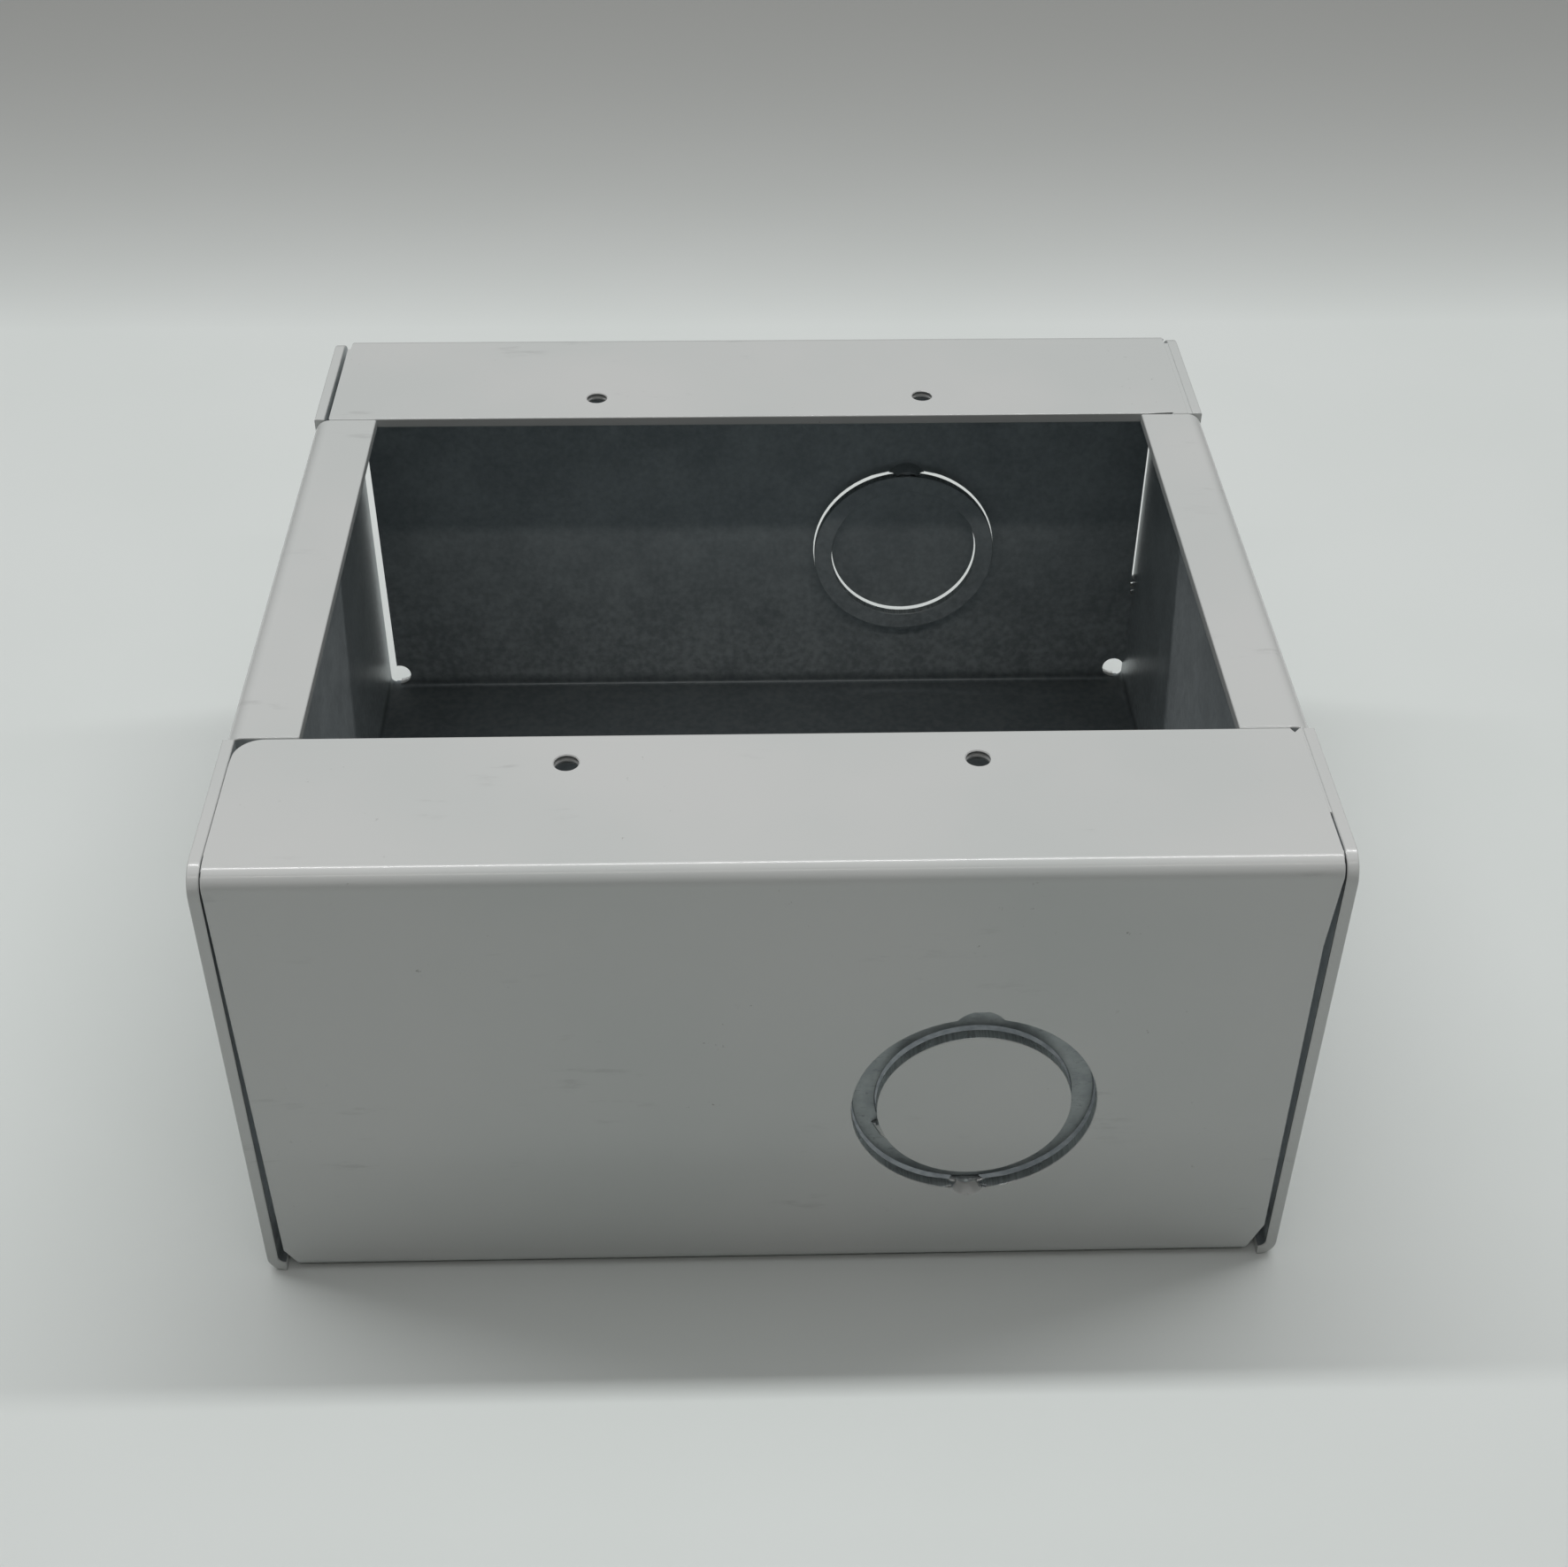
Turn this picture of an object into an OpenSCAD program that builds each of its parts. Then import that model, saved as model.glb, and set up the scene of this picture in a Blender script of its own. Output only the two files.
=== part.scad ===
// Empty back box of a small residential load centre.
// It is folded from one blank of sheet steel and lies on its base, open face up.
// The front and back walls each hold a concentric knockout: a ring and a disc that turn on ties.
// Frame: origin at the centre of the base's underside, +Z out of the open face, -Y front.

/* [Enclosure] */
// Outside width, left to right
width = 124; // [116:1:140]
// Outside depth, front to back
depth = 121; // [115:1:140]
// Outside height, base to flanges
height = 64; // [56:1:90]
// Sheet thickness
sheet = 1.4; // [1.2:0.1:1.6]
// Inside radius of every bend
bend_in = 0.8; // [0.6:0.1:1.2]

/* [Return flanges] */
// Front flange, from the outside face to the opening
front_flange = 23.8; // [22:0.2:26]
// Back flange, from the outside face to the opening
back_flange = 24.4; // [22:0.2:26]
// Left and right flanges, from the outside face to the opening
side_flange = 8.6; // [7:0.2:12]
// Radius of the front flange's open corner
open_corner_r = 3.3; // [2.5:0.1:4]

/* [Device screw holes] */
// Left to right spacing of the tapped holes
screw_pitch_x = 46.04; // [40:0.02:60]
// Front to back spacing of the tapped holes
screw_pitch_y = 83.34; // [80:0.02:86]
// Minor diameter of the thread
thread_minor_d = 2.8; // [2.6:0.1:3]
// Major diameter of the thread
thread_major_d = 3.5; // [3.4:0.1:3.7]
// Thread pitch
thread_pitch = 0.794; // [0.7:0.002:0.8]

/* [Knockouts] */
// Knockout centre to the right of the box's centre plane
knockout_x = 23; // [-20:1:25]
// Knockout centre above the base's underside
knockout_z = 27.4; // [24:0.2:32]
// Diameter of the hole in the wall
knockout_d = 28.4; // [27:0.2:29]
// Diameter of the disc
disc_d = 22.6; // [22:0.1:23]
// Radial clearance round the ring and round the disc
shear_gap = 0.1; // [0.1:0.01:0.15]
// Direction of the front disc's tie, anticlockwise from +X as seen from the front
front_tie_angle = 206; // [190:1:225]
// Direction of the back disc's tie, anticlockwise from +X as seen from the front
back_tie_angle = 133; // [120:1:165]

/* [Hidden] */
$fn = 96;

// Colours
paint_grey = [0.68, 0.69, 0.68];
shear_grey = [0.47, 0.50, 0.52];
over = 1;                                 // how far a cutter runs past what it cuts
fuse = 0.01;                              // overlap that joins two solids or opens a face
small_fn = 48;                            // segments of small round parts

// Sheet
bend_out = bend_in + sheet;
foot = bend_out + sheet;                  // how far a wall section runs onto the base
half_w = width / 2;
half_d = depth / 2;
wall_in = half_w - sheet;                 // inner face of the left and right walls

// Seams between the end walls and the side walls, as [height above the base, gap] from the
// base up. The back right seam is shut low down, but for two pin gaps.
wall_top = height - bend_out;
shut = -0.05;                             // a shut edge runs this far into the side wall
front_left_seam = [[3.7, 0.8], [wall_top, 0.15]];
front_right_seam = [[5.5, 0.55], [30, 0.8], [52, 0.85], [wall_top, 0.2]];
back_left_seam = [[5, 1.3], [wall_top, 1]];
back_right_seam = [
    [5, shut], [17.9, shut], [18.1, 0.4], [18.8, 0.4], [19, shut], [19.4, shut], [19.6, 0.5],
    [20.3, 0.5], [20.5, shut], [21, shut], [21.4, 0.5], [wall_top, 0.45]
];
front_left_gap = 0.1;                     // between a flange's end and the side wall
front_right_gap = 0.25;
back_gap = 0.6;
flange_slit = 0.15;                       // between side flanges and end flanges

// Base corners, where three bends meet: the end bends stop short and a tongue of base remains
front_inset = 3.6;                        // from the outside face to the end of the front bend
back_inset = 3.1;
bend_end_z = 1.5;                         // top of the square part of the relief
relief_r = 1.7;                           // round relief of the back wall
relief_z = 3.6;
tongue_len = 1.3;                         // the back corners alone keep their tongues
side_corner_r = 3.2;                      // upper front and back corners of the side walls

// Side flanges run between the end flanges
side_y0 = -half_d + front_flange + flange_slit;
side_y1 = half_d - back_flange - flange_slit;

// Knockout radii, and the depth of the ring's middle plane under the wall's outside face
ring_gap = 0.5;                           // between the wall's inner face and the ring
ring_mid = 1.5 * sheet + ring_gap;
hole_r = knockout_d / 2;
ring_r = hole_r - shear_gap;
disc_r = disc_d / 2;
ring_hole_r = disc_r + shear_gap;

// Ties of the ring: a round dish drawn in from the wall, with a pivot nib into the ring's rim
ring_tie_r = [3.2, 2.2];                  // dish radius of the upper and the lower tie
ring_tie_rise = 1.2;                      // height of the dish beyond the hole
tie_draw = 0.8 * sheet + ring_gap;        // how far the dish is drawn in
tie_taper = 0.8;                          // how much narrower it is at its floor
sweep_gap = 0.06;                         // round the ball that the turning ring sweeps
nib_r = 0.4;
nib_len = 0.6;                            // how far it reaches inside the hole
nib_root = 0.3;                           // how far it is buried in the tie
nib_gap = 0.06;

// Tie of the disc: a tab that ends in a round knuckle on the ring's face
tie_w = 2.6;
knuckle_r = 0.45;
knuckle_gap = 0.08;
tab_lift = 0.05;                          // between the tab and the ring's face
tie_r = disc_r + knuckle_r + knuckle_gap;   // from the knockout's centre to the hinge line

// Screw holes
lead_in = 0.12;
crest = 0.3;                              // flat left between two thread grooves
first_groove = 0.15;                      // from the flange's underside to the first groove

// Weld fills, ground flush, each from near the end wall to the slit at the side flange
front_weld_start = 8.6;                   // from the front wall's outside face
back_weld_start = 3.4;                    // from the back wall's outside face
back_slit_open = 4.4;                     // slit left open, from the opening's right edge
slit_flare = 0.25;                        // how much wider the open slit is at its closed end
nick = 1.1;                               // open nick beside the front fill
nick_tip = [0.3, 0.9];                    // its deepest point, from its left end

// Quarter of a bend in section, in the -X -Y quadrant of its centre
module bend_section() {
    intersection() {
        difference() {
            circle(r = bend_out);
            circle(r = bend_in);
        }
        translate([-bend_out, -bend_out])
            square(bend_out);
    }
}

// Section of a wall with its foot: outside face on X = 0, underside on Y = 0
module foot_and_wall_section(top) {
    translate([bend_out, bend_out])
        bend_section();
    translate([bend_out, 0])
        square([foot - bend_out, sheet]);
    translate([0, bend_out])
        square([sheet, top - bend_out]);
}

// The same with a return flange at the top
module flanged_section(flange) {
    foot_and_wall_section(wall_top);
    translate([bend_out, wall_top])
        mirror([0, 1])
            bend_section();
    translate([bend_out, height - sheet])
        square([flange - bend_out, sheet]);
}

// Extrudes a section along Y, between y0 and y1, on the left side
module left_side(y0, y1) {
    translate([-half_w, y1, 0])
        rotate([90, 0, 0])
            linear_extrude(height = y1 - y0)
                children();
}

// Left wall: flanged in the middle, plain up to the top beside the end flanges
module left_wall() {
    difference() {
        union() {
            left_side(side_y0, side_y1)
                flanged_section(side_flange);
            left_side(-half_d, half_d)
                foot_and_wall_section(wall_top - flange_slit);
            left_side(-half_d, side_y0 - flange_slit)
                foot_and_wall_section(height);
            left_side(side_y1 + flange_slit, half_d)
                foot_and_wall_section(height);
        }
        upper_corner();
        mirror([0, 1, 0])
            upper_corner();
        front_foot();
    }
}

// Keeps a left wall's upper front corner round, by cutting outside the arc
module upper_corner() {
    r = side_corner_r;
    translate([-half_w - over, -half_d, height - r])
        rotate([90, 0, 90])
            linear_extrude(height = sheet + 2 * over)
                difference() {
                    translate([-over, 0])
                        square([r + over, r + over]);
                    translate([r, 0])
                        circle(r = r);
                }
}

// Cuts a left wall's foot back to where the front wall's lower bend ends
module front_foot() {
    translate([-half_w + bend_out, -half_d - over, -over])
        cube([foot - bend_out + over, bend_out + over, sheet + 2 * over]);
}

// End wall and flange as one strip, before its ends are trimmed
module end_strip(flange) {
    translate([-wall_in + shut, -half_d, 0])
        rotate([90, 0, 90])
            linear_extrude(height = 2 * (wall_in - shut))
                flanged_section(flange);
}

// Trims the +X end of an end wall to a seam, and to the end of its lower bend
module end_trim(seam, inset) {
    last = seam[len(seam) - 1];
    translate([0, -half_d + foot, 0])
        rotate([90, 0, 0])
            linear_extrude(height = foot + over)
                polygon(concat(
                    [[half_w, -over], [half_w - inset, -over], [half_w - inset, bend_end_z]],
                    [for (p = seam) [wall_in - p[1], p[0]]],
                    [[wall_in - last[1], height + over], [half_w, height + over]]
                ));
}

// Round relief at the +X foot of an end wall
module round_relief() {
    translate([half_w - back_inset, -half_d + foot, relief_z])
        rotate([90, 0, 0])
            cylinder(h = foot + over, r = relief_r);
}

// Seam between a flange's +X end and the side wall
module flange_end_gap(gap, flange) {
    translate([wall_in - gap, -half_d + bend_out, height - sheet - over])
        cube([gap + over, flange, sheet + 2 * over]);
}

// Keeps a front flange's -X corner round, by cutting outside the arc
module open_corner() {
    x = -wall_in + front_left_gap + open_corner_r;
    y = -half_d + front_flange - open_corner_r;
    translate([x, y, height - sheet - over])
        difference() {
            translate([-open_corner_r - over, 0, 0])
                cube([open_corner_r + over, open_corner_r + over, sheet + 2 * over]);
            translate([0, 0, -over])
                cylinder(h = sheet + 4 * over, r = open_corner_r);
        }
}

// Small open nick in the front flange's rear right corner
module corner_nick() {
    translate([wall_in - front_right_gap - nick, -half_d + front_flange + fuse, height - sheet - over])
        linear_extrude(height = sheet + 2 * over)
            polygon([[0, 0], [nick, 0], [nick_tip[0], -nick_tip[1]]]);
}

// Widens the open end of the slit, into the back flange of a wall built as a front wall
module slit_wedge() {
    translate([half_w - side_flange, -half_d + back_flange + fuse, height - sheet - over])
        linear_extrude(height = sheet + 2 * over)
            polygon([[0, 0], [back_slit_open, 0], [back_slit_open, -slit_flare]]);
}

module front_wall() {
    difference() {
        end_strip(front_flange);
        end_trim(front_right_seam, front_inset);
        flange_end_gap(front_right_gap, front_flange);
        mirror([1, 0, 0]) {
            end_trim(front_left_seam, front_inset);
            flange_end_gap(front_left_gap, front_flange);
        }
        open_corner();
        corner_nick();
        knockout_hole();
    }
    ring_ties();
}

// Back wall, built as a front wall and mirrored
module back_wall() {
    mirror([0, 1, 0]) {
        difference() {
            end_strip(back_flange);
            end_trim(back_right_seam, back_inset);
            round_relief();
            flange_end_gap(back_gap, back_flange);
            slit_wedge();
            mirror([1, 0, 0]) {
                end_trim(back_left_seam, back_inset);
                round_relief();
                flange_end_gap(back_gap, back_flange);
            }
            knockout_hole();
        }
        ring_ties();
    }
}

// Tongue of base at the back right corner, between the end of the back bend and the side bend
module tongue() {
    translate([half_w - back_inset, half_d - bend_out, 0])
        cube([back_inset - bend_out, tongue_len, sheet]);
}

module base() {
    x = half_w - bend_out;
    y = half_d - bend_out;
    translate([-x, -y, 0])
        cube([2 * x, 2 * y, sheet]);
    for (side = [0, 1])
        mirror([side, 0, 0])
            tongue();
}

// Tapped hole through a flange: plain crests, V grooves at the pitch, lead-in at the top
module tapped_hole() {
    minor = thread_minor_d / 2;
    major = thread_major_d / 2;
    groove = (thread_pitch - crest) / 2;
    translate([0, 0, height - sheet - over])
        cylinder(h = sheet + 2 * over, r = minor);
    translate([0, 0, height - lead_in])
        cylinder(h = lead_in + fuse, r1 = minor, r2 = minor + lead_in);
    for (i = [0, 1])
        translate([0, 0, height - sheet + first_groove + i * thread_pitch])
            rotate_extrude()
                polygon([
                    [minor - over, -groove], [minor, -groove], [major, 0],
                    [minor, groove], [minor - over, groove]
                ]);
}

module screw_holes() {
    for (sx = [-1, 1])
        for (sy = [-1, 1])
            translate([sx * screw_pitch_x / 2, sy * screw_pitch_y / 2, 0])
                tapped_hole();
}

// Turns a solid made along +Z into one along +Y, with its foot on the front wall's outside face,
// centred on the knockout
module on_front_wall() {
    translate([knockout_x, -half_d, knockout_z])
        rotate([-90, 0, 0])
            children();
}

// Hole in the wall, with the outside dished where the two ties are drawn in
module knockout_hole() {
    on_front_wall()
        translate([0, 0, -over])
            cylinder(h = sheet + 2 * over, r = hole_r);
    for (side = [0, 1])
        tie_dish(side, -fuse);
}

// Dish of a ring tie: a shallow cone that starts at y, measured in from the outside face.
// side 0 is above the ring, side 1 below.
module tie_dish(side, y) {
    r = ring_tie_r[side];
    translate([knockout_x, -half_d + y, knockout_z])
        mirror([0, 0, side])
            translate([0, 0, hole_r + ring_tie_rise - r])
                rotate([-90, 0, 0])
                    cylinder(h = tie_draw, r1 = r, r2 = r - tie_taper);
}

// The two ties, each with its pivot nib, trimmed clear of the turning ring
module ring_ties() {
    for (side = [0, 1]) {
        difference() {
            tie_dish(side, sheet - fuse);
            ring_ball(ring_r + sweep_gap);
        }
        nib(side, nib_r, nib_len + nib_root);
    }
}

module ring_ball(r) {
    translate([knockout_x, -half_d + ring_mid, knockout_z])
        sphere(r = r);
}

// Pivot nib on the ring's turning axis; reach is its length, measured from outside the hole in
module nib(side, r, reach) {
    translate([knockout_x, -half_d + ring_mid, knockout_z])
        mirror([0, 0, side])
            translate([0, 0, hole_r + nib_root - reach])
                cylinder(h = reach, r = r, $fn = small_fn);
}

// Moves children to a disc tie: X along the hinge line, +Y into the box, Z away from the centre
module at_tie(angle) {
    translate([knockout_x, -half_d + sheet + ring_gap, knockout_z])
        rotate([0, 90 - angle, 0])
            translate([0, 0, tie_r])
                children();
}

// Round bar along the hinge line
module knuckle(r, length) {
    rotate([0, 90, 0])
        cylinder(h = length, r = r, center = true, $fn = small_fn);
}

// Knockout ring of the front wall, pushed in just past the wall's inner face
module knockout_ring(angle) {
    difference() {
        on_front_wall()
            translate([0, 0, sheet + ring_gap])
                difference() {
                    cylinder(h = sheet, r = ring_r);
                    translate([0, 0, -over])
                        cylinder(h = sheet + 2 * over, r = ring_hole_r);
                }
        for (side = [0, 1])
            nib(side, nib_r + nib_gap, nib_len + nib_root + nib_gap);
        at_tie(angle)
            knuckle(knuckle_r + knuckle_gap, tie_w + 2 * knuckle_gap);
    }
}

// Knockout disc of the front wall, flush with the wall
module knockout_disc(angle) {
    on_front_wall()
        cylinder(h = sheet, r = disc_r);
    at_tie(angle) {
        knuckle(knuckle_r, tie_w);
        translate([-tie_w / 2, -knuckle_r - ring_gap, -knuckle_r - 2 * knuckle_gap])
            cube([tie_w, knuckle_r + ring_gap - tab_lift, knuckle_r + 2 * knuckle_gap]);
    }
}

module enclosure_body() {
    color(paint_grey)
        difference() {
            union() {
                base();
                left_wall();
                mirror([1, 0, 0])
                    left_wall();
                front_wall();
                back_wall();
            }
            screw_holes();
        }
}

module front_knockout_ring() {
    color(shear_grey)
        knockout_ring(front_tie_angle);
}

module front_knockout_disc() {
    color(paint_grey)
        knockout_disc(front_tie_angle);
}

module back_knockout_ring() {
    color(shear_grey)
        mirror([0, 1, 0])
            knockout_ring(back_tie_angle);
}

module back_knockout_disc() {
    color(paint_grey)
        mirror([0, 1, 0])
            knockout_disc(back_tie_angle);
}

// Fill of a right-hand seam that is gap wide, between y0 and y1
module seam_fill(gap, y0, y1) {
    translate([wall_in - gap, y0, height - sheet])
        cube([gap, y1 - y0, sheet]);
}

// Fill of the slit between the right flange and an end flange, from x0 to x1
module slit_fill(y, x0, x1) {
    translate([x0, y, height - sheet])
        cube([x1 - x0, flange_slit, sheet]);
}

module front_right_weld() {
    color(paint_grey) {
        seam_fill(front_right_gap, -half_d + front_weld_start, side_y0);
        slit_fill(-half_d + front_flange, half_w - side_flange, wall_in - front_right_gap - nick);
    }
}

module back_right_weld() {
    color(paint_grey) {
        seam_fill(back_gap, side_y1, half_d - back_weld_start);
        slit_fill(side_y1, half_w - side_flange + back_slit_open, wall_in - back_gap);
    }
}

enclosure_body();
front_knockout_ring();
front_knockout_disc();
back_knockout_ring();
back_knockout_disc();
front_right_weld();
back_right_weld();
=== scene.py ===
"""Looks of the folded-steel back box: powder coat outside, bare galvanised steel inside.

Each CAD node is copied, its long sharp edges get a small round, and every face takes its
material from where it lies on the sheet. Sizes on the part are in millimetres. The stage and
the lights are in metres.
"""

import math

import bmesh
import bpy
from mathutils import Matrix, Vector


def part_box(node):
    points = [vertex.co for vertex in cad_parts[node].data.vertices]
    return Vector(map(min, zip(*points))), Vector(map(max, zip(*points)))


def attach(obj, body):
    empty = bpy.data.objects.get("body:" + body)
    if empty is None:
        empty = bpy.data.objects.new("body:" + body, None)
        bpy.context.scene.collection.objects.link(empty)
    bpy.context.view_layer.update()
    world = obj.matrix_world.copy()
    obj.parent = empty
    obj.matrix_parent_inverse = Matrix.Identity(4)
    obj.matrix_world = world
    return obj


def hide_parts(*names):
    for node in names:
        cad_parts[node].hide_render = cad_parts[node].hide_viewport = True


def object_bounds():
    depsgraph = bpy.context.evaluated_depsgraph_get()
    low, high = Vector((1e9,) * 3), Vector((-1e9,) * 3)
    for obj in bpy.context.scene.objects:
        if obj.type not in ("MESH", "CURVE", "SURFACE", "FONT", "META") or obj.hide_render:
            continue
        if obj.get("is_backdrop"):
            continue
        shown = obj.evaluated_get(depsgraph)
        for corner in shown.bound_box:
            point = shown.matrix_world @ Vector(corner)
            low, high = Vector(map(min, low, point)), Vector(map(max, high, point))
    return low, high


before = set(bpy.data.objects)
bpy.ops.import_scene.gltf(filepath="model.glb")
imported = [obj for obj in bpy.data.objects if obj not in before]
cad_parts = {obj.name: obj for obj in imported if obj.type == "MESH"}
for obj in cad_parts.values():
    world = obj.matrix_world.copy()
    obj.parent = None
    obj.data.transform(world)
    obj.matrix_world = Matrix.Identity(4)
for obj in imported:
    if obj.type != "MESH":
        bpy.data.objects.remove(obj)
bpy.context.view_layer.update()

MM = 0.001
SHEET = 1.4
BEND_OUT = 2.2                            # outside radius of every bend
SCREW_X = 23.02                           # the screw holes' distance from the middle
SHELL_ROUND, KNOCKOUT_ROUND, FILL_ROUND = 0.2, 0.15, 0.05     # radii of the rounded edges
WARM_WHITE = (1, 0.965, 0.93)

# The box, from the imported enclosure
low, high = (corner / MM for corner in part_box("enclosure_body"))
HALF_W, HALF_D, HEIGHT = high.x, high.y, high.z
RING_LOW, RING_HIGH = (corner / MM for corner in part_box("front_knockout_ring"))
KNOCKOUT = (RING_LOW + RING_HIGH) / 2
RING_R = (RING_HIGH.z - RING_LOW.z) / 2


# ---------------------------------------------------------------- materials

class Look:
    """A material and short ways to add nodes to it. Lengths are in millimetres, but for axis()."""

    def __init__(self, name):
        self.material = bpy.data.materials.new(name)
        self.material.use_nodes = True
        self.tree = self.material.node_tree
        self.shader = self.tree.nodes["Principled BSDF"]
        self.where = self.tree.nodes.new("ShaderNodeTexCoord").outputs["Object"]

    def set(self, **values):
        """Sets the shader's own sockets: underscores stand for spaces."""
        for name, value in values.items():
            self.shader.inputs[name.replace("_", " ")].default_value = value

    def link(self, output, name):
        self.tree.links.new(output, self.shader.inputs[name])

    def add(self, kind, inputs=(), **properties):
        node = self.tree.nodes.new(kind)
        for name, value in properties.items():
            setattr(node, name, value)
        for key, value in dict(inputs).items():
            if isinstance(value, bpy.types.NodeSocket):
                self.tree.links.new(value, node.inputs[key])
            else:
                node.inputs[key].default_value = value
        return node

    def stretched(self, x=1.0, y=1.0, z=1.0, turn=0.0):
        """Object position, stretched by x, y, z after a turn about Z."""
        inputs = {"Vector": self.where, "Scale": (1 / x, 1 / y, 1 / z), "Rotation": (0, 0, turn)}
        return self.add("ShaderNodeMapping", inputs).outputs["Vector"]

    def noise(self, size, detail=2.0, roughness=0.5, where=None):
        """Noise whose blobs are about size across, from 0 to 1."""
        inputs = {
            "Vector": where or self.where, "Scale": 1 / (size * MM), "Detail": detail,
            "Roughness": roughness,
        }
        return self.add("ShaderNodeTexNoise", inputs).outputs["Fac"]

    def ramp(self, value, low, high, to_low=0.0, to_high=1.0):
        """value from low..high onto to_low..to_high, smooth and held at both ends."""
        inputs = {
            "Value": value, "From Min": low, "From Max": high, "To Min": to_low, "To Max": to_high,
        }
        node = self.add("ShaderNodeMapRange", inputs, interpolation_type="SMOOTHSTEP")
        return node.outputs["Result"]

    def math(self, operation, a, b):
        return self.add("ShaderNodeMath", {0: a, 1: b}, operation=operation).outputs[0]

    def mix(self, factor, a, b, blend="MIX"):
        inputs = {"Factor": factor, 6: a, 7: b}
        return self.add("ShaderNodeMix", inputs, data_type="RGBA", blend_type=blend).outputs[2]

    def axis(self, name):
        """Object position along one axis, in metres."""
        return self.add("ShaderNodeSeparateXYZ", {"Vector": self.where}).outputs[name]

    def bump(self, height, distance, strength=1.0, under=None):
        inputs = {"Height": height, "Distance": distance * MM, "Strength": strength}
        if under is not None:
            inputs["Normal"] = under
        return self.add("ShaderNodeBump", inputs).outputs["Normal"]


def rgb(red, green, blue):
    return (red, green, blue, 1.0)


def powder_coat():
    """Satin light grey powder coat: fine grain, faint clouding, scuffs and a few small marks."""
    look = Look("powder_coat")
    cloud = look.noise(34, detail=3)
    tint = look.mix(look.ramp(cloud, 0.3, 0.7), rgb(0.54, 0.562, 0.553), rgb(0.57, 0.582, 0.574))

    # Thin grey scuffs, in patches, running nearly along X
    rubbed = look.noise(2.4, detail=5, roughness=0.65, where=look.stretched(x=5, turn=0.12))
    patch = look.ramp(look.noise(13, detail=1), 0.56, 0.66)
    scuff = look.math("MULTIPLY", look.ramp(rubbed, 0.57, 0.70), patch)
    tint = look.mix(look.math("MULTIPLY", scuff, 0.2), tint, rgb(0.22, 0.22, 0.22))

    # Ragged dark marks of many sizes, in loose groups
    mark = look.ramp(look.noise(1.3, detail=6, roughness=0.75), 0.655, 0.71)
    group = look.ramp(look.noise(15, detail=1, where=look.stretched(turn=1.0)), 0.56, 0.64)
    dirt = look.math("MULTIPLY", mark, group)
    tint = look.mix(look.math("MULTIPLY", dirt, 0.6), tint, rgb(0.12, 0.11, 0.10))
    look.link(tint, "Base Color")

    look.link(look.ramp(look.noise(5, detail=3), 0.3, 0.7, 0.15, 0.20), "Roughness")
    look.set(Specular_IOR_Level=0.45)
    peel = look.bump(look.noise(1.6, detail=2), 0.004, 0.5)
    look.link(look.bump(look.noise(0.3, detail=2), 0.0018, 0.5, under=peel), "Normal")
    return look.material


def galvanised():
    """Bare galvanised sheet: soft fine mottling, stronger low down, and painted shade darkening the
    base.
    """
    look = Look("bare_galvanised")
    fine = look.noise(0.8, detail=4, roughness=0.6)
    stain = look.noise(7, detail=4, roughness=0.6)
    mottle = look.noise(1.1, detail=3, roughness=0.55)
    depth_share = look.ramp(look.axis("Z"), 0.001, 0.03, 1.0, 0.3)
    value = look.math("ADD", look.math("MULTIPLY", fine, 0.25), look.math("MULTIPLY", stain, 0.4))
    swing = look.math("MULTIPLY", look.math("SUBTRACT", mottle, 0.5), depth_share)
    value = look.math("ADD", value, look.math("MULTIPLY", swing, 0.75))
    tint = look.mix(look.ramp(value, 0.12, 0.54), rgb(0.36, 0.395, 0.41), rgb(0.60, 0.645, 0.655))
    # Painted shade: the colour on the base inside the box is mixed toward a dark grey.
    base_painted_shade = look.ramp(look.axis("Z"), 0.0015, 0.004, 0.75, 0.0)
    look.link(look.mix(base_painted_shade, tint, rgb(0.10, 0.12, 0.13)), "Base Color")
    look.set(Metallic=0.36)
    look.link(look.ramp(value, 0.12, 0.54, 0.32, 0.44), "Roughness")
    rolled = look.noise(0.8, detail=2, where=look.stretched(y=14, z=14))
    look.link(look.bump(rolled, 0.003, 0.25), "Normal")
    return look.material


def sheared():
    """Sheared edge of the sheet: bright and dark striations along the punch's travel."""
    look = Look("sheared_edge")
    streak = look.noise(0.3, detail=3, where=look.stretched(y=20))
    look.link(
        look.mix(look.ramp(streak, 0.35, 0.65), rgb(0.44, 0.465, 0.47), rgb(0.60, 0.635, 0.64)),
        "Base Color",
    )
    look.set(Metallic=0.9)
    look.link(look.ramp(look.noise(3, detail=2), 0.3, 0.7, 0.24, 0.38), "Roughness")
    look.link(look.bump(streak, 0.002, 0.3), "Normal")
    return look.material


def seam_edge_painted_shade():
    """Edge faces deep in the seams: dull sheared steel, its dark colour painted shade for the narrow
    gaps.
    """
    look = Look("seam_edge_painted_shade")
    streak = look.noise(0.6, detail=3, where=look.stretched(y=8))
    # Painted shade: a very dark colour stands in for the shade deep in the seams.
    look.link(
        look.mix(look.ramp(streak, 0.3, 0.7), rgb(0.03, 0.033, 0.036), rgb(0.09, 0.095, 0.10)),
        "Base Color",
    )
    look.set(Metallic=0.6)
    look.link(look.ramp(streak, 0.3, 0.7, 0.45, 0.6), "Roughness")
    look.link(look.bump(streak, 0.004, 0.3), "Normal")
    return look.material


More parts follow.
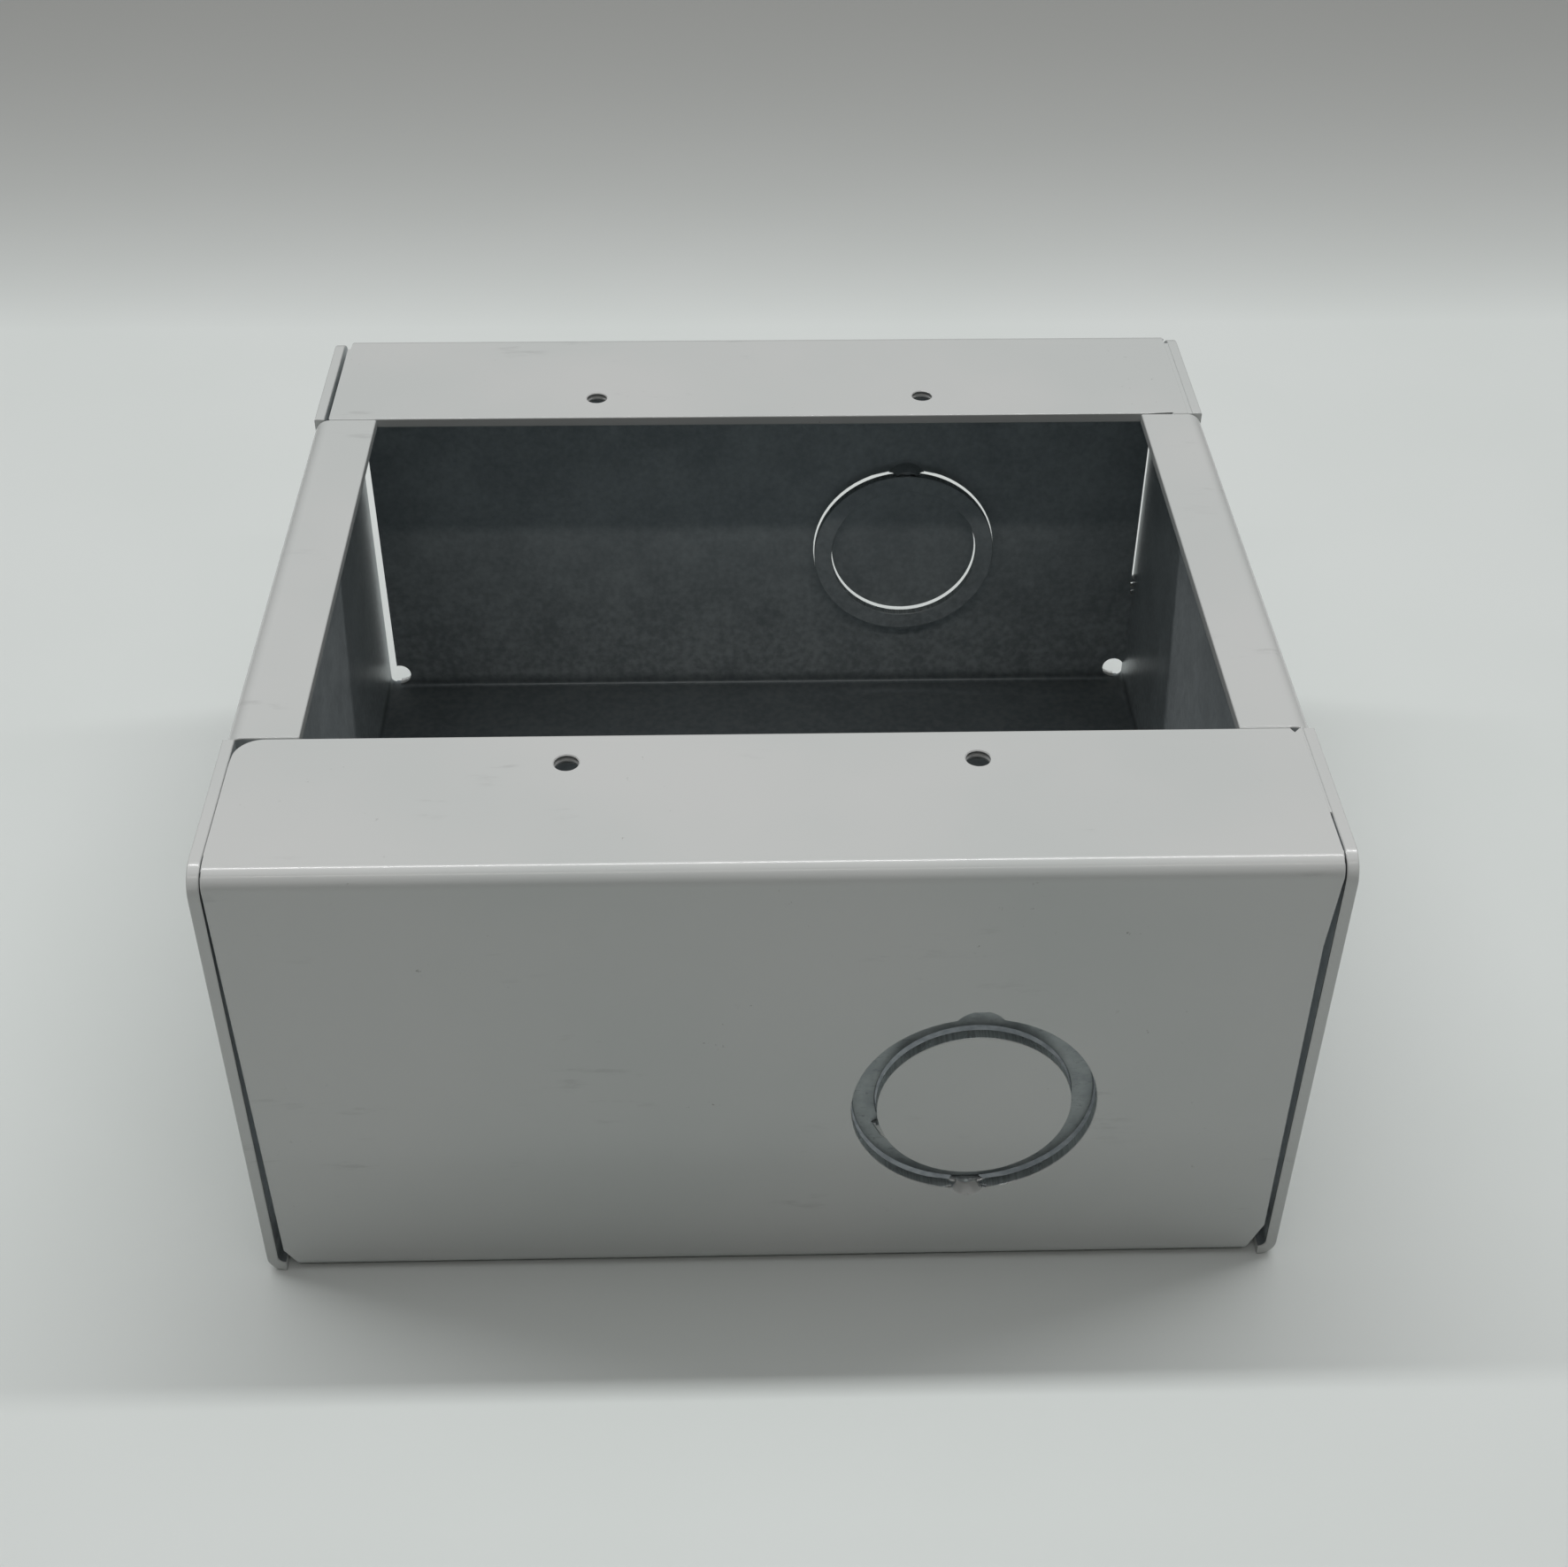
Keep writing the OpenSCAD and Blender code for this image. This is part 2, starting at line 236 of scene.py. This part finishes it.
def thin_coat():
    """Ring face: overspray too thin to hide the galvanised steel, with dark rubbed streaks."""
    look = Look("thin_coat")
    cloud = look.noise(4, detail=4, roughness=0.6)
    tint = look.mix(look.ramp(cloud, 0.3, 0.7), rgb(0.25, 0.28, 0.29), rgb(0.40, 0.435, 0.44))
    rub = look.ramp(look.noise(0.35, detail=5, roughness=0.7, where=look.stretched(x=3)), 0.55, 0.7)
    tint = look.mix(look.math("MULTIPLY", rub, 0.55), tint, rgb(0.12, 0.13, 0.14))
    look.link(tint, "Base Color")
    look.set(Metallic=0.35)
    look.link(look.ramp(cloud, 0.3, 0.7, 0.28, 0.42), "Roughness")
    look.link(look.bump(look.noise(0.7, detail=2), 0.005, 0.4), "Normal")
    return look.material


def paper():
    """Pale backdrop paper, darkened with distance behind the object as painted shade. Places are in
    metres.
    """
    look = Look("backdrop_paper")
    grain = look.noise(60, detail=2)
    near = look.mix(look.ramp(grain, 0.3, 0.7), rgb(0.665, 0.70, 0.685), rgb(0.68, 0.712, 0.70))
    # Painted shade: the colour fades from the pale near tone to a dark grey with distance behind the
    # object.
    start, length, farthest = 0.19, 0.075, 0.7
    inputs = {
        "Value": look.axis("Y"), "From Min": start, "From Max": farthest,
        "To Min": 0.0, "To Max": (start - farthest) / length,
    }
    distance = look.add("ShaderNodeMapRange", inputs).outputs["Result"]
    painted_falloff = look.math("EXPONENT", distance, 0.0)
    look.link(look.mix(painted_falloff, rgb(0.31, 0.315, 0.305), near), "Base Color")
    look.set(Roughness=0.85, Specular_IOR_Level=0.1)
    look.link(look.bump(look.noise(0.9, detail=2), 0.02, 0.2), "Normal")
    return look.material


# ---------------------------------------------------------------- pieces

def flat_corner(edge, vertex, other):
    """True where one edge runs on into the other, almost straight, through a vertex."""
    nearly_opposite = -0.9
    a = (edge.other_vert(vertex).co - vertex.co).normalized()
    b = (other.other_vert(vertex).co - vertex.co).normalized()
    return a.dot(b) < nearly_opposite


def roundable(mesh, radius):
    """Outer edges of a mesh with room for a round of that radius, in metres."""
    sharp = math.radians(60)
    room_between_rounds, room_beside_round = 2.2, 1.2
    edges = {e for e in mesh.edges if e.is_manifold and e.is_convex and e.calc_face_angle() > sharp}
    while True:
        tight = set()
        for edge in edges:
            for vertex in edge.verts:
                for other in vertex.link_edges:
                    if other is edge or (other in edges and flat_corner(edge, vertex, other)):
                        continue
                    room = room_between_rounds if other in edges else room_beside_round
                    if other.calc_length() < room * radius:
                        tight.add(edge)
        if not tight:
            return sorted(edges, key=lambda e: e.index)
        edges -= tight


def cut_through_holes(mesh):
    """Cuts the mesh at x = SCREW_X and -SCREW_X, so that no flange face wraps round a screw hole."""
    snap = 0.03 * MM
    for side in (-1, 1):
        cut = bmesh.ops.bisect_plane(
            mesh, geom=mesh.verts[:] + mesh.edges[:] + mesh.faces[:], dist=snap,
            plane_co=(side * SCREW_X * MM, 0, 0), plane_no=(1, 0, 0),
        )
        for item in cut["geom_cut"]:
            if isinstance(item, bmesh.types.BMEdge):
                item.seam = True


def softened(node, name, radius, materials, rule):
    """Piece that stands for a CAD node, with rounded edges. rule(point, normal) picks a material."""
    merge, flat, crease = 0.002 * MM, math.radians(0.5), math.radians(38)
    mesh = bmesh.new()
    mesh.from_mesh(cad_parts[node].data)
    bmesh.ops.remove_doubles(mesh, verts=mesh.verts, dist=merge)
    cut_through_holes(mesh)
    for _ in range(2):
        bmesh.ops.dissolve_limit(
            mesh, angle_limit=flat, verts=mesh.verts[:], edges=mesh.edges[:],
            delimit={"SEAM"},
        )
    mesh.edges.index_update()
    bmesh.ops.bevel(
        mesh, geom=roundable(mesh, radius * MM), offset=radius * MM, segments=3, profile=0.5,
        affect="EDGES", clamp_overlap=False,
    )
    mesh.normal_update()
    for face in mesh.faces:
        face.smooth = True
        face.material_index = rule(face.calc_center_median() / MM, face.normal)
    data = bpy.data.meshes.new(name)
    for material in materials:
        data.materials.append(material)
    mesh.to_mesh(data)
    mesh.free()
    data.set_sharp_from_angle(angle=crease)
    piece = bpy.data.objects.new(name, data)
    bpy.context.scene.collection.objects.link(piece)
    weighted = piece.modifiers.new("weighted", "WEIGHTED_NORMAL")
    weighted.keep_sharp = True
    return piece


def placed(piece, node, body):
    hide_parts(node)
    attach(piece, body)


def enclosure_zone(point, normal):
    """Zone on the shell: 0 painted, 1 bare inside, 2 edges in the seams (painted shade), 3 knockout
    holes' edges.
    """
    slack = 0.03
    seam_width = 1.5
    hole_margin = top_margin = 0.3
    edge_below, facing_seam = 0.5, 0.7
    wall_in = HALF_W - SHEET
    in_end_wall = abs(point.y) > HALF_D - SHEET - slack
    from_knockout = math.hypot(point.x - KNOCKOUT.x, point.z - KNOCKOUT.z)
    if in_end_wall and abs(normal.y) < edge_below:
        if from_knockout < RING_R + hole_margin:
            return 3
        beside_seam = wall_in - seam_width < abs(point.x) < wall_in + slack
        upright = BEND_OUT < point.z < HEIGHT - top_margin
        if beside_seam and abs(normal.x) > facing_seam and upright:
            return 2
    inside = (
        abs(point.x) < wall_in + slack
        and abs(point.y) < HALF_D - SHEET + slack
        and SHEET - slack < point.z < HEIGHT - SHEET + slack
    )
    return 1 if inside else 0


def knockout_zone(point, normal):
    """Zone on a knockout's ring or disc: 0 outward face, 1 inward face, 2 rims."""
    rim_below = 0.6
    if abs(normal.y) < rim_below:
        return 2
    outward = 1 if point.y > 0 else -1
    return 0 if normal.y * outward > 0 else 1


def build_pieces():
    coat, bare, edge, thin = powder_coat(), galvanised(), sheared(), thin_coat()

    shell_looks = [coat, bare, seam_edge_painted_shade(), edge]
    shell = softened("enclosure_body", "folded_shell", SHELL_ROUND, shell_looks, enclosure_zone)
    placed(shell, "enclosure_body", "enclosure")

    for side in ("front", "back"):
        ring = softened(
            f"{side}_knockout_ring", f"{side}_ring", KNOCKOUT_ROUND, [thin, bare, edge], knockout_zone,
        )
        placed(ring, f"{side}_knockout_ring", f"{side}_ring")
        disc = softened(
            f"{side}_knockout_disc", f"{side}_disc", KNOCKOUT_ROUND, [coat, bare, edge], knockout_zone,
        )
        placed(disc, f"{side}_knockout_disc", f"{side}_disc")
        fill = softened(
            f"{side}_right_weld", f"{side}_weld", FILL_ROUND, [coat], lambda point, normal: 0,
        )
        placed(fill, f"{side}_right_weld", "enclosure")


# ---------------------------------------------------------------- stage, light and camera

def stage():
    """A sheet of paper that sweeps up far behind the object."""
    half_width, front, turn, radius, steps = 3.0, -3.0, 0.9, 1.2, 24
    sweep = math.radians(70)
    line = [(front, 0.0), (turn, 0.0)]
    for i in range(1, steps + 1):
        angle = sweep * i / steps
        line.append((turn + radius * math.sin(angle), radius * (1 - math.cos(angle))))
    points = [(x, y, z) for y, z in line for x in (-half_width, half_width)]
    faces = [(2 * i, 2 * i + 1, 2 * i + 3, 2 * i + 2) for i in range(len(line) - 1)]
    data = bpy.data.meshes.new("backdrop")
    data.from_pydata(points, [], faces)
    data.materials.append(paper())
    sheet = bpy.data.objects.new("backdrop", data)
    bpy.context.scene.collection.objects.link(sheet)
    for face in data.polygons:
        face.use_smooth = True
    sheet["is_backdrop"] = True


def area_light(name, at, target, size, power, colour=(1, 1, 1)):
    """Rectangular light at a place in metres, turned to its target."""
    light = bpy.data.lights.new(name, "AREA")
    light.shape = "RECTANGLE"
    light.size, light.size_y = size
    light.energy = power
    light.color = colour
    lamp = bpy.data.objects.new(name, light)
    lamp.location = at
    lamp.rotation_euler = (Vector(target) - Vector(at)).to_track_quat("-Z", "Y").to_euler()
    bpy.context.scene.collection.objects.link(lamp)


def lighting():
    """A long tube above and behind, a weaker one in front and a broad soft panel overhead."""
    top = (0, 0, HEIGHT * MM)
    floor = (0, 0, 0)
    area_light("tube", (0, 0.275, 1.2), top, size=(2.4, 0.06), power=12.4)
    area_light("overhead", (0, 0.02, 1.0), floor, size=(1.3, 0.9), power=3.4)
    area_light(
        "front_tube", (0, -0.745, 1.13), top, size=(1.5, 0.04), power=1.7, colour=WARM_WHITE,
    )
    world = bpy.data.worlds.new("room")
    world.use_nodes = True
    background = world.node_tree.nodes["Background"]
    background.inputs["Color"].default_value = (*WARM_WHITE, 1)
    background.inputs["Strength"].default_value = 0.05
    bpy.context.scene.world = world


def camera():
    """The photograph's view, from above and in front of the box."""
    place = Vector((-4.701, -232.108, 213.700)) * MM
    pitch, yaw, roll = (math.radians(a) for a in (38.774, 1.798, 0.465))
    ahead = Vector((
        math.sin(yaw) * math.cos(pitch), math.cos(yaw) * math.cos(pitch), -math.sin(pitch),
    ))
    level = Vector((math.cos(yaw), -math.sin(yaw), 0))
    upright = level.cross(ahead)
    right = math.cos(roll) * level + math.sin(roll) * upright
    up = -math.sin(roll) * level + math.cos(roll) * upright
    data = bpy.data.cameras.new("camera")
    data.sensor_width = 36
    data.lens = 49.8
    data.clip_start = 0.01
    view = bpy.data.objects.new("camera", data)
    turned = Matrix((right, up, -ahead)).transposed().to_4x4()
    view.matrix_world = Matrix.Translation(place) @ turned
    bpy.context.scene.collection.objects.link(view)
    bpy.context.scene.camera = view


build_pieces()
stage()
lighting()
camera()
bpy.context.scene.view_settings.view_transform = "Standard"

low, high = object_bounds()
